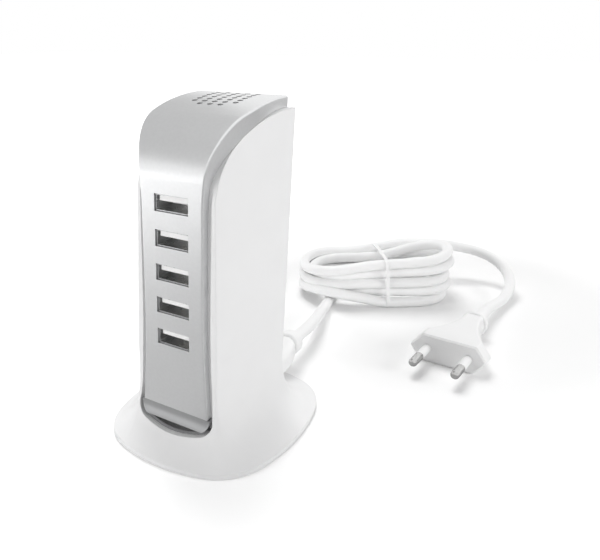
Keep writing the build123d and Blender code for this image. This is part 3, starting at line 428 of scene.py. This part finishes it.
def white_moulding(name, colour, roughness, peel, edge=0.0):
    """Plastic with an orange peel of that depth in metres."""
    finish = new_finish(name, colour, roughness)
    uneven_colour(finish, grain(finish, scale=90), dark=shade(colour, 0.99), light=shade(colour, 1.005))
    uneven_gloss(finish, grain(finish, scale=400), smooth=roughness - 0.02, rough=roughness + 0.03)
    relief(finish, grain(finish, scale=1200, detail=1.0), peel, edge)
    shader_of(finish).inputs["IOR"].default_value = PLASTIC_IOR
    return finish


shell_white = white_moulding("shell_white", (0.87, 0.87, 0.872), roughness=0.32, peel=1.2e-6, edge=0.0004)
plate_white = white_moulding("plate_white", (0.80, 0.805, 0.81), roughness=0.45, peel=5e-6)
lead_white = white_moulding("lead_white", (0.91, 0.91, 0.91), roughness=0.42, peel=2e-6)
plug_white = white_moulding("plug_white", (0.91, 0.91, 0.91), roughness=0.36, peel=2e-6, edge=0.0003)
strap_white = white_moulding("strap_white", (0.90, 0.90, 0.90), roughness=0.38, peel=2e-6)
WHITE_PIECES = {
    shell_white: [solids["housing"]],
    plate_white: [solids["bottom_plate"]],
    lead_white: [mains_lead],
    plug_white: [solids["lead_connector"], solids["plug_body"], solids["pin_sleeves"]],
    strap_white: [hank_strap],
}
for finish, pieces in WHITE_PIECES.items():
    wear(finish, *pieces)
print(len(WHITE_PIECES), "white plastics")

# %% [markdown]
# ### Silver lacquer
# The face is plastic sprayed with silver: metal flakes in a clear lacquer, which give a broad, soft
# mirror. A pure metal shader is too hard for that, so the roughness is medium and tiny flakes tilt the
# surface a little, each grain its own way. An Ambient Occlusion node knows how deep in a hole a point is,
# so it darkens the silver there: painted shade in the cover's vent holes.

# %% Silver
HOLE_SHADE_REACH = 0.0020        # metres into a hole


def shade_in_holes(finish):
    """Darkens the colour where a point lies deep in a hole: painted shade."""
    nodes, links = finish.node_tree.nodes, finish.node_tree.links
    colour_in = shader_of(finish).inputs["Base Color"]
    sprayed = colour_in.links[0].from_socket
    hollow = nodes.new("ShaderNodeAmbientOcclusion")
    hollow.samples = 8
    hollow.only_local = True    # the housing beside the cover doesn't count
    hollow.inputs["Distance"].default_value = HOLE_SHADE_REACH
    links.new(sprayed, hollow.inputs["Color"])
    links.new(hollow.outputs["Color"], colour_in)


def silver_lacquer(name, colour, roughness):
    finish = new_finish(name, colour, roughness, metallic=0.9)
    flakes = grain(finish, scale=900, detail=1.0)
    uneven_colour(finish, flakes, dark=shade(colour, 0.985), light=shade(colour, 1.01))
    uneven_gloss(finish, grain(finish, scale=300), smooth=roughness - 0.01, rough=roughness + 0.02)
    relief(finish, grain(finish, scale=1200, detail=1.0), depth=5e-7)
    shader_of(finish).inputs["Coat Weight"].default_value = 0.2
    shader_of(finish).inputs["Coat Roughness"].default_value = 0.25
    return finish


SILVER_ROUGHNESS = 0.31
face_silver = silver_lacquer("face_silver", (0.83, 0.835, 0.84), SILVER_ROUGHNESS)
# the trim has the face's silver, darkened: painted shade under the cover's edge
trim_silver_shaded = silver_lacquer("trim_silver_shaded", (0.47, 0.475, 0.48), SILVER_ROUGHNESS)
# painted shade in the cover's vent holes
shade_in_holes(face_silver)
wear(face_silver, solids["front_cover"])
wear(trim_silver_shaded, solids["lower_trim"])
print("silver on the cover and the trim")

# %% [markdown]
# ### Sockets
# A USB socket is a folded shell of nickel-plated steel round a white tongue with four gold springs.
# Rolled steel has a grain along the sheet, so its noise is stretched along the socket's depth.

# %% Socket finishes
def rolled_metal(name, colour, roughness, stretch):
    finish = new_finish(name, colour, roughness, metallic=1.0)
    along_sheet = grain(finish, scale=1500, stretch=stretch)
    uneven_colour(finish, along_sheet, dark=shade(colour, 0.88), light=shade(colour, 1.06))
    uneven_gloss(finish, along_sheet, smooth=roughness - 0.06, rough=roughness + 0.08)
    relief(finish, along_sheet, depth=4e-6)
    return finish


SOCKETS = 5
SHEET_GRAIN = (1, 0.08, 1)    # long in the depth of a socket
socket_steel = rolled_metal("socket_steel", (0.66, 0.665, 0.67), roughness=0.30, stretch=SHEET_GRAIN)
socket_gold = rolled_metal("socket_gold", (0.80, 0.77, 0.70), roughness=0.22, stretch=SHEET_GRAIN)
socket_tongue = white_moulding("socket_tongue", (0.93, 0.93, 0.925), roughness=0.40, peel=2e-6)
for number in range(1, SOCKETS + 1):
    wear(socket_steel, solids[f"usb_shell_{number}"])
    wear(socket_gold, solids[f"usb_contacts_{number}"])
    wear(socket_tongue, solids[f"usb_tongue_{number}"])
print(SOCKETS, "sockets dressed")

# %% [markdown]
# ### Metal pins, screws and the parts inside
# The pins are nickel-plated brass, polished by use. The parts on the boards are hidden once the case is
# shut, but the model can be opened, so each has the finish of the real component.

# %% Bright metal
EVEN_GRAIN = (1, 1, 1)
pin_nickel = rolled_metal("pin_nickel", (0.60, 0.60, 0.595), roughness=0.12, stretch=(1, 0.15, 1))
screw_zinc = rolled_metal("screw_zinc", (0.55, 0.56, 0.57), roughness=0.30, stretch=EVEN_GRAIN)
sink_aluminium = rolled_metal("sink_aluminium", (0.72, 0.725, 0.73), roughness=0.35, stretch=(1, 1, 0.1))
choke_copper = rolled_metal("choke_copper", (0.60, 0.30, 0.14), roughness=0.30, stretch=EVEN_GRAIN)
wear(pin_nickel, solids["plug_pins"], solids["inlet_pins"])
wear(screw_zinc, solids["base_screws"], solids["usb_board_screws"], solids["main_board_screws"])
wear(sink_aluminium, solids["heat_sink"])
wear(choke_copper, solids["line_choke"])
print("metal on the pins, the screws, the heat sink and the choke")

# %% Everything else inside
def cast_finish(name, colour, roughness, grains, depth):
    """Matt stuff with a visible grain: rubber, ferrite, epoxy, tape, lacquer."""
    finish = new_finish(name, colour, roughness)
    uneven_colour(finish, grain(finish, scale=grains), dark=shade(colour, 0.85), light=shade(colour, 1.12))
    uneven_gloss(finish, grain(finish, scale=grains / 4), smooth=roughness - 0.05, rough=roughness + 0.07)
    relief(finish, grain(finish, scale=grains), depth)
    return finish


INSIDE = {    # each piece's finish, colour, roughness, grains to the metre and depth of relief in metres
    # the tray's dark grey is painted shade in the notch behind the foot's rim
    "trough_tray": ("tray_painted_shade", (0.21, 0.21, 0.215), 0.45, 1500, 0.00001),
    "rubber_feet": ("foot_rubber", (0.10, 0.10, 0.10), 0.75, 1800, 0.00003),
    "usb_board": ("board_green", (0.05, 0.26, 0.12), 0.38, 700, 0.00001),
    "main_board": ("board_green_large", (0.05, 0.26, 0.12), 0.38, 600, 0.00001),
    "transformer_core": ("core_ferrite", (0.09, 0.09, 0.10), 0.55, 1600, 0.00003),
    "transformer_winding": ("winding_tape", (0.80, 0.62, 0.09), 0.42, 800, 0.00001),
    "bulk_capacitors": ("can_sleeve_dark", (0.045, 0.06, 0.11), 0.32, 500, 0.000008),
    "output_capacitors": ("can_sleeve_small", (0.05, 0.065, 0.12), 0.32, 700, 0.000008),
    "bridge_rectifier": ("rectifier_epoxy", (0.05, 0.05, 0.05), 0.55, 1800, 0.00002),
    "switch_transistor": ("transistor_epoxy", (0.045, 0.045, 0.045), 0.52, 2000, 0.00002),
    "fuse": ("fuse_ceramic", (0.73, 0.71, 0.64), 0.48, 1400, 0.00001),
    "y_capacitor": ("disc_lacquer", (0.09, 0.23, 0.52), 0.30, 600, 0.00002),
    "inlet_body": ("inlet_black", (0.06, 0.06, 0.06), 0.45, 1500, 0.00001),
    "mains_wires": ("mains_vinyl", (0.45, 0.07, 0.06), 0.40, 900, 0.00001),
    "dc_wires": ("supply_vinyl", (0.45, 0.07, 0.06), 0.40, 900, 0.00001),
}
for piece, (name, colour, roughness, grains, depth) in INSIDE.items():
    wear(cast_finish(name, colour, roughness, grains, depth), solids[piece])
print(len(INSIDE), "more finishes inside and underneath")

# %% [markdown]
# ## The white set
# The photograph has no background but white. The table is a wide sheet of matt paper that keeps the soft
# shadows. The lamps do not reach its far end, so the paper also has a glow of its own, which grows with
# the distance from the lead. A curved backdrop would do the same, but it would show in the silver face.
# Near the charger the glow is painted light: it lightens the tower's shadow in front of the foot and
# leaves the lead's.
# Reflections see that glow to the left only. There the face mirrors the paper, and its silver pales
# upwards and to the left. The cover's right edge mirrors the paper behind, and is grey in the photograph.

# %% Table
TABLE_SIZE = 8.0
PAPER_SHADE = 0.92
# painted shade: reflections see the paper darker, so the silver face darkens towards the foot
PAPER_MIRRORED = 0.55       # the same paper as the silver face shows it
NEAR_GLOW = 0.08            # what it still lacks of pure white beside the charger
# painted light: the glow seen directly grows away from the lead, so it lightens the tower's shadow
SEEN_FROM = (0.04, 0.17, 0.0)
SEEN_GLOW = (0.06, 0.50)    # metres from there to where the glow starts and where it is white
MIRRORED_FROM = (2.0, -0.2, 0.0)    # far to the right, so the mirrored glow grows to the left
MIRRORED_GLOW = (2.05, 2.465)       # metres from there, in the same way


def flat_sheet(name, width, depth):
    mesh = bpy.data.meshes.new(name)
    build = bmesh.new()
    bmesh.ops.create_grid(build, x_segments=1, y_segments=1, size=0.5)
    bmesh.ops.scale(build, vec=(width, depth, 1), verts=build.verts)
    build.to_mesh(mesh)
    build.free()
    sheet = bpy.data.objects.new(name, mesh)
    bpy.context.collection.objects.link(sheet)
    return sheet


def glow_with_distance(tree, centre, reach):
    """0 near that centre, and 1 where the lamps no longer reach."""
    place = tree.nodes.new("ShaderNodeTexCoord")
    far = tree.nodes.new("ShaderNodeVectorMath")
    far.operation = "DISTANCE"
    far.inputs[1].default_value = centre
    share = tree.nodes.new("ShaderNodeMapRange")
    share.inputs["From Min"].default_value, share.inputs["From Max"].default_value = reach
    tree.links.new(place.outputs["Object"], far.inputs[0])
    tree.links.new(far.outputs["Value"], share.inputs["Value"])
    return share.outputs["Result"]


def one_or_other(tree, switch, off, on):
    """The first number where the switch is 0, and the second where it is 1."""
    pick = tree.nodes.new("ShaderNodeMapRange")
    pick.inputs["To Min"].default_value = off
    pick.inputs["To Max"].default_value = on
    tree.links.new(switch, pick.inputs["Value"])
    return pick.outputs["Result"]


def larger(tree, first, second):
    pick = tree.nodes.new("ShaderNodeMath")
    pick.operation = "MAXIMUM"
    tree.links.new(first, pick.inputs[0])
    tree.links.new(second, pick.inputs[1])
    return pick.outputs[0]


def times(tree, first, second):
    product = tree.nodes.new("ShaderNodeMath")
    product.operation = "MULTIPLY"
    tree.links.new(first, product.inputs[0])
    tree.links.new(second, product.inputs[1])
    return product.outputs[0]


def paper_white():
    paper = bpy.data.materials.new("paper_white")
    paper.use_nodes = True
    tree = paper.node_tree
    tree.nodes.clear()
    out = tree.nodes.new("ShaderNodeOutputMaterial")
    matt = tree.nodes.new("ShaderNodeBsdfDiffuse")
    glow = tree.nodes.new("ShaderNodeEmission")
    path = tree.nodes.new("ShaderNodeLightPath")
    to_camera, to_mirror = path.outputs["Is Camera Ray"], path.outputs["Is Glossy Ray"]
    tree.links.new(one_or_other(tree, to_mirror, PAPER_SHADE, PAPER_MIRRORED), matt.inputs["Color"])
    near = one_or_other(tree, to_camera, 0.0, NEAR_GLOW)
    seen = times(tree, to_camera, glow_with_distance(tree, SEEN_FROM, SEEN_GLOW))
    mirrored = times(tree, to_mirror, glow_with_distance(tree, MIRRORED_FROM, MIRRORED_GLOW))
    tree.links.new(larger(tree, larger(tree, near, seen), mirrored), glow.inputs["Strength"])
    both = tree.nodes.new("ShaderNodeAddShader")
    tree.links.new(matt.outputs[0], both.inputs[0])
    tree.links.new(glow.outputs[0], both.inputs[1])
    tree.links.new(both.outputs[0], out.inputs["Surface"])
    return paper


table = flat_sheet("table", TABLE_SIZE, TABLE_SIZE)
wear(paper_white(), table)
print("a table of", TABLE_SIZE, "m")

# %% [markdown]
# ### The room
# Seen directly, or in metal and glass, the room is white. As a source of light it is a mid grey, so that
# the lamps have something to add and the shadows stay.

# %% World
AMBIENT = 0.30


def white_world():
    world = bpy.data.worlds.new("white_room")
    world.use_nodes = True
    tree = world.node_tree
    sky = tree.nodes["Background"]
    sky.inputs["Color"].default_value = (1, 1, 1, 1)
    path = tree.nodes.new("ShaderNodeLightPath")
    seen = larger(tree, path.outputs["Is Camera Ray"], path.outputs["Is Glossy Ray"])
    seen = larger(tree, seen, path.outputs["Is Transmission Ray"])
    tree.links.new(one_or_other(tree, seen, AMBIENT, 1.0), sky.inputs["Strength"])
    return world


bpy.context.scene.world = white_world()
print("the room is white to look at and gives", AMBIENT, "of that as light")

# %% [markdown]
# ### Lamps
# Three soft boxes do the rest. One hangs overhead, behind and to the left, and draws the soft shadows of
# the lead. One stands to the right and lifts the white side of the tower. A smaller one in front fills the
# sockets, the foot's front and the plug's face.

# %% Soft boxes
LAMP_TARGET = Vector((0.0, 0.04, 0.05))
LAMP_DISTANCE = 0.9


def soft_box(name, direction, size, level):
    """A square area lamp aimed at the charger, which adds that share of white to a surface facing it."""
    data = bpy.data.lights.new(name, "AREA")
    data.size = size
    data.energy = level * math.pi ** 2 * LAMP_DISTANCE ** 2
    lamp = bpy.data.objects.new(name, data)
    lamp.location = LAMP_TARGET + Vector(direction).normalized() * LAMP_DISTANCE
    lamp.rotation_euler = (lamp.location - LAMP_TARGET).to_track_quat("Z", "Y").to_euler()
    lamp.visible_glossy = False
    bpy.context.collection.objects.link(lamp)
    print(name, "gives", level, "of white")


soft_box("overhead_box", direction=(-0.35, 0.40, 1.0), size=0.5, level=0.62)
soft_box("right_box", direction=(1.0, 0.05, 0.3), size=0.5, level=0.46)
soft_box("front_box", direction=(-0.60, -1.0, 0.20), size=0.4, level=0.42)

# %% [markdown]
# ### A grey card
# A shiny face shows what stands round it. The curved shoulder of the silver cover is grey in the
# photograph and its flat face is bright, with a soft line between them. Dark paint on the shoulder would
# stay there from every side. So, as in a real studio, a grey card stands to the left: the shoulder
# mirrors the card, the flat of the face mirrors the bright table, and the card's lower edge is the line.
# The card ends behind the charger, so that the top of the hood mirrors the white room there. Only
# reflections see the card, and they don't see the lamps.

# %% Grey card
CARD_FROM_CENTRE = 0.6
CARD_LOW, CARD_HIGH = 0.365, 1.6
CARD_FRONT, CARD_BACK = -1.5, 0.85
CARD_GREY = 0.55


def grey_card(name, level):
    """A sheet standing to the left, which only reflections see."""
    card = flat_sheet(name, CARD_HIGH - CARD_LOW, CARD_BACK - CARD_FRONT)
    card.location = (-CARD_FROM_CENTRE, (CARD_FRONT + CARD_BACK) / 2, (CARD_LOW + CARD_HIGH) / 2)
    card.rotation_euler = (0, math.pi / 2, 0)
    paint = bpy.data.materials.new(name)
    paint.use_nodes = True
    tree = paint.node_tree
    tree.nodes.clear()
    out = tree.nodes.new("ShaderNodeOutputMaterial")
    glow = tree.nodes.new("ShaderNodeEmission")
    glow.inputs["Color"].default_value = (level, level, level, 1)
    tree.links.new(glow.outputs[0], out.inputs["Surface"])
    wear(paint, card)
    card.visible_camera = card.visible_diffuse = card.visible_shadow = card.visible_transmission = False


grey_card("left_card", CARD_GREY)
print("a grey card stands", CARD_FROM_CENTRE, "m to the left")

# %% [markdown]
# ## Close the frame
# The finished charger has to stay inside the box of its solids.

# %% Update the view layer
bpy.context.view_layer.update()
